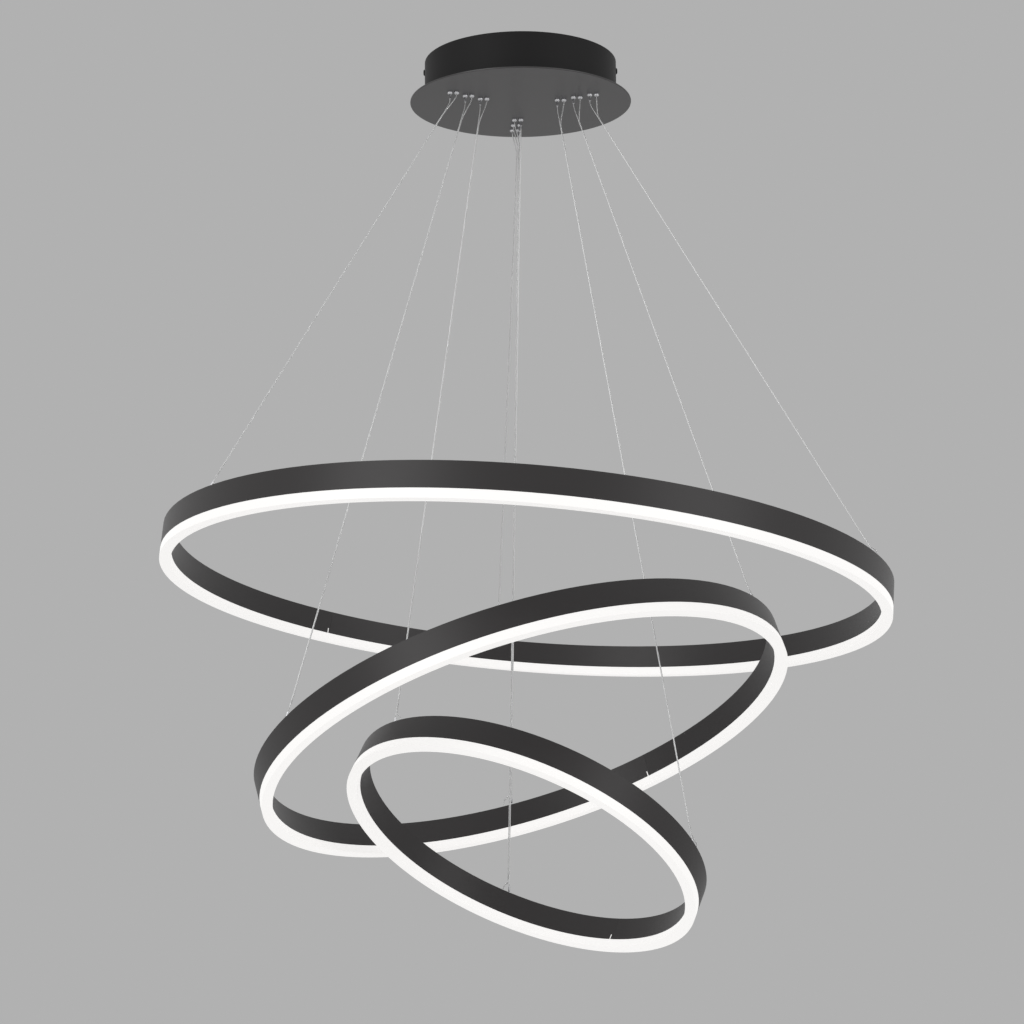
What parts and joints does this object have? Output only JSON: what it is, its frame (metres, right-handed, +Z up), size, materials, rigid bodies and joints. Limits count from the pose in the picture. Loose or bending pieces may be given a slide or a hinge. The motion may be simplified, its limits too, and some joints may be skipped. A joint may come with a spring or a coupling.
{
  "type": "led ring chandelier",
  "caption": "Round ceiling canopy with tilted light rings of falling size hung one inside another on steel wires, each ring a slim channel with an opal lit underside.",
  "frame": {"origin": "centre of the canopy on the ceiling, at the middle of the ceiling bracket's two slots, on its upper face", "axes": "+Z up into the ceiling, -Z down to the rings, +Y away from a viewer at the front, +X to that viewer's right"},
  "size_m": [0.8001, 0.7968, 1.0014],
  "materials": {
    "canopy_black": "satin black powder coat",
    "canopy_plate_grey": "half-gloss charcoal lacquer",
    "ring_charcoal": "satin charcoal anodised look, brushed along the ring",
    "opal_light": "opal, lit from inside",
    "strip_white": "white strip",
    "bare_aluminium": "mill finish",
    "fitting_chrome": "bright nickel plate",
    "wire_steel": "stranded steel wire",
    "clear_pvc": "clear soft PVC over tinned strands",
    "clear_bush": "clear nylon",
    "screw_black": "blackened steel",
    "zinc_steel": "zinc plated",
    "white_plastic": "moulded",
    "driver_white": "moulded, fine texture",
    "splice_grey": "moulded",
    "lead_sleeve": "PVC sheath"
  },
  "bodies": {
    "canopy": {"ceiling_bracket": "zinc_steel", "canopy_drum": "canopy_black", "canopy_plate": "canopy_plate_grey", "canopy_lock_screws": "screw_black", "terminal_block": "white_plastic", "stud_nuts": "zinc_steel", "led_driver_1": "driver_white", "led_driver_2": "driver_white", "led_driver_3": "driver_white", "splice_blocks": "splice_grey", "mains_leads": "lead_sleeve", "output_leads": "lead_sleeve", "wire_grippers": "fitting_chrome", "gripper_nuts": "fitting_chrome", "lead_glands": "fitting_chrome", "gland_nuts": "fitting_chrome", "wire_large_right": "wire_steel", "wire_large_back": "wire_steel", "wire_large_left": "wire_steel", "wire_medium_right": "wire_steel", "wire_medium_back": "wire_steel", "wire_medium_left": "wire_steel", "wire_small_right": "wire_steel", "wire_small_back": "wire_steel", "wire_small_left": "wire_steel", "clear_leads_large": "clear_pvc", "clear_leads_medium": "clear_pvc", "clear_leads_small": "clear_pvc"},
    "ring_large": {"channel_large": "ring_charcoal", "opal_cover_large": "opal_light", "led_strip_large": "strip_white", "seam_joiner_large": "bare_aluminium", "wire_anchors_large": "fitting_chrome", "lead_entries_large": "clear_bush"},
    "ring_medium": {"channel_medium": "ring_charcoal", "opal_cover_medium": "opal_light", "led_strip_medium": "strip_white", "seam_joiner_medium": "bare_aluminium", "wire_anchors_medium": "fitting_chrome", "lead_entries_medium": "clear_bush"},
    "ring_small": {"channel_small": "ring_charcoal", "opal_cover_small": "opal_light", "led_strip_small": "strip_white", "seam_joiner_small": "bare_aluminium", "wire_anchors_small": "fitting_chrome", "lead_entries_small": "clear_bush"},
    "nipple_large_right": {"release_nipple_large_right": "fitting_chrome"},
    "nipple_large_back": {"release_nipple_large_back": "fitting_chrome"},
    "nipple_large_left": {"release_nipple_large_left": "fitting_chrome"},
    "nipple_medium_right": {"release_nipple_medium_right": "fitting_chrome"},
    "nipple_medium_back": {"release_nipple_medium_back": "fitting_chrome"},
    "nipple_medium_left": {"release_nipple_medium_left": "fitting_chrome"},
    "nipple_small_right": {"release_nipple_small_right": "fitting_chrome"},
    "nipple_small_back": {"release_nipple_small_back": "fitting_chrome"},
    "nipple_small_left": {"release_nipple_small_left": "fitting_chrome"}
  },
  "joints": [
    {"name": "large_ring_height", "type": "slide", "parent": "canopy", "child": "ring_large", "axis": [0, 0, 1], "range_m": [0, 0.15], "deforming": ["wire_large_right", "wire_large_back", "wire_large_left", "clear_leads_large"]},
    {"name": "medium_ring_height", "type": "slide", "parent": "canopy", "child": "ring_medium", "axis": [0, 0, 1], "range_m": [0, 0.15], "deforming": ["wire_medium_right", "wire_medium_back", "wire_medium_left", "clear_leads_medium"]},
    {"name": "small_ring_height", "type": "slide", "parent": "canopy", "child": "ring_small", "axis": [0, 0, 1], "range_m": [0, 0.2], "deforming": ["wire_small_right", "wire_small_back", "wire_small_left", "clear_leads_small"]},
    {"name": "large_right_release", "type": "slide", "parent": "canopy", "child": "nipple_large_right", "axis": [0, 0, 1], "range_m": [0, 0.002], "stiffness_N_per_m": 600},
    {"name": "large_back_release", "type": "slide", "parent": "canopy", "child": "nipple_large_back", "axis": [0, 0, 1], "range_m": [0, 0.002], "stiffness_N_per_m": 600},
    {"name": "large_left_release", "type": "slide", "parent": "canopy", "child": "nipple_large_left", "axis": [0, 0, 1], "range_m": [0, 0.002], "stiffness_N_per_m": 600},
    {"name": "medium_right_release", "type": "slide", "parent": "canopy", "child": "nipple_medium_right", "axis": [0, 0, 1], "range_m": [0, 0.002], "stiffness_N_per_m": 600},
    {"name": "medium_back_release", "type": "slide", "parent": "canopy", "child": "nipple_medium_back", "axis": [0, 0, 1], "range_m": [0, 0.002], "stiffness_N_per_m": 600},
    {"name": "medium_left_release", "type": "slide", "parent": "canopy", "child": "nipple_medium_left", "axis": [0, 0, 1], "range_m": [0, 0.002], "stiffness_N_per_m": 600},
    {"name": "small_right_release", "type": "slide", "parent": "canopy", "child": "nipple_small_right", "axis": [0, 0, 1], "range_m": [0, 0.002], "stiffness_N_per_m": 600},
    {"name": "small_back_release", "type": "slide", "parent": "canopy", "child": "nipple_small_back", "axis": [0, 0, 1], "range_m": [0, 0.002], "stiffness_N_per_m": 600},
    {"name": "small_left_release", "type": "slide", "parent": "canopy", "child": "nipple_small_left", "axis": [0, 0, 1], "range_m": [0, 0.002], "stiffness_N_per_m": 600}
  ]
}
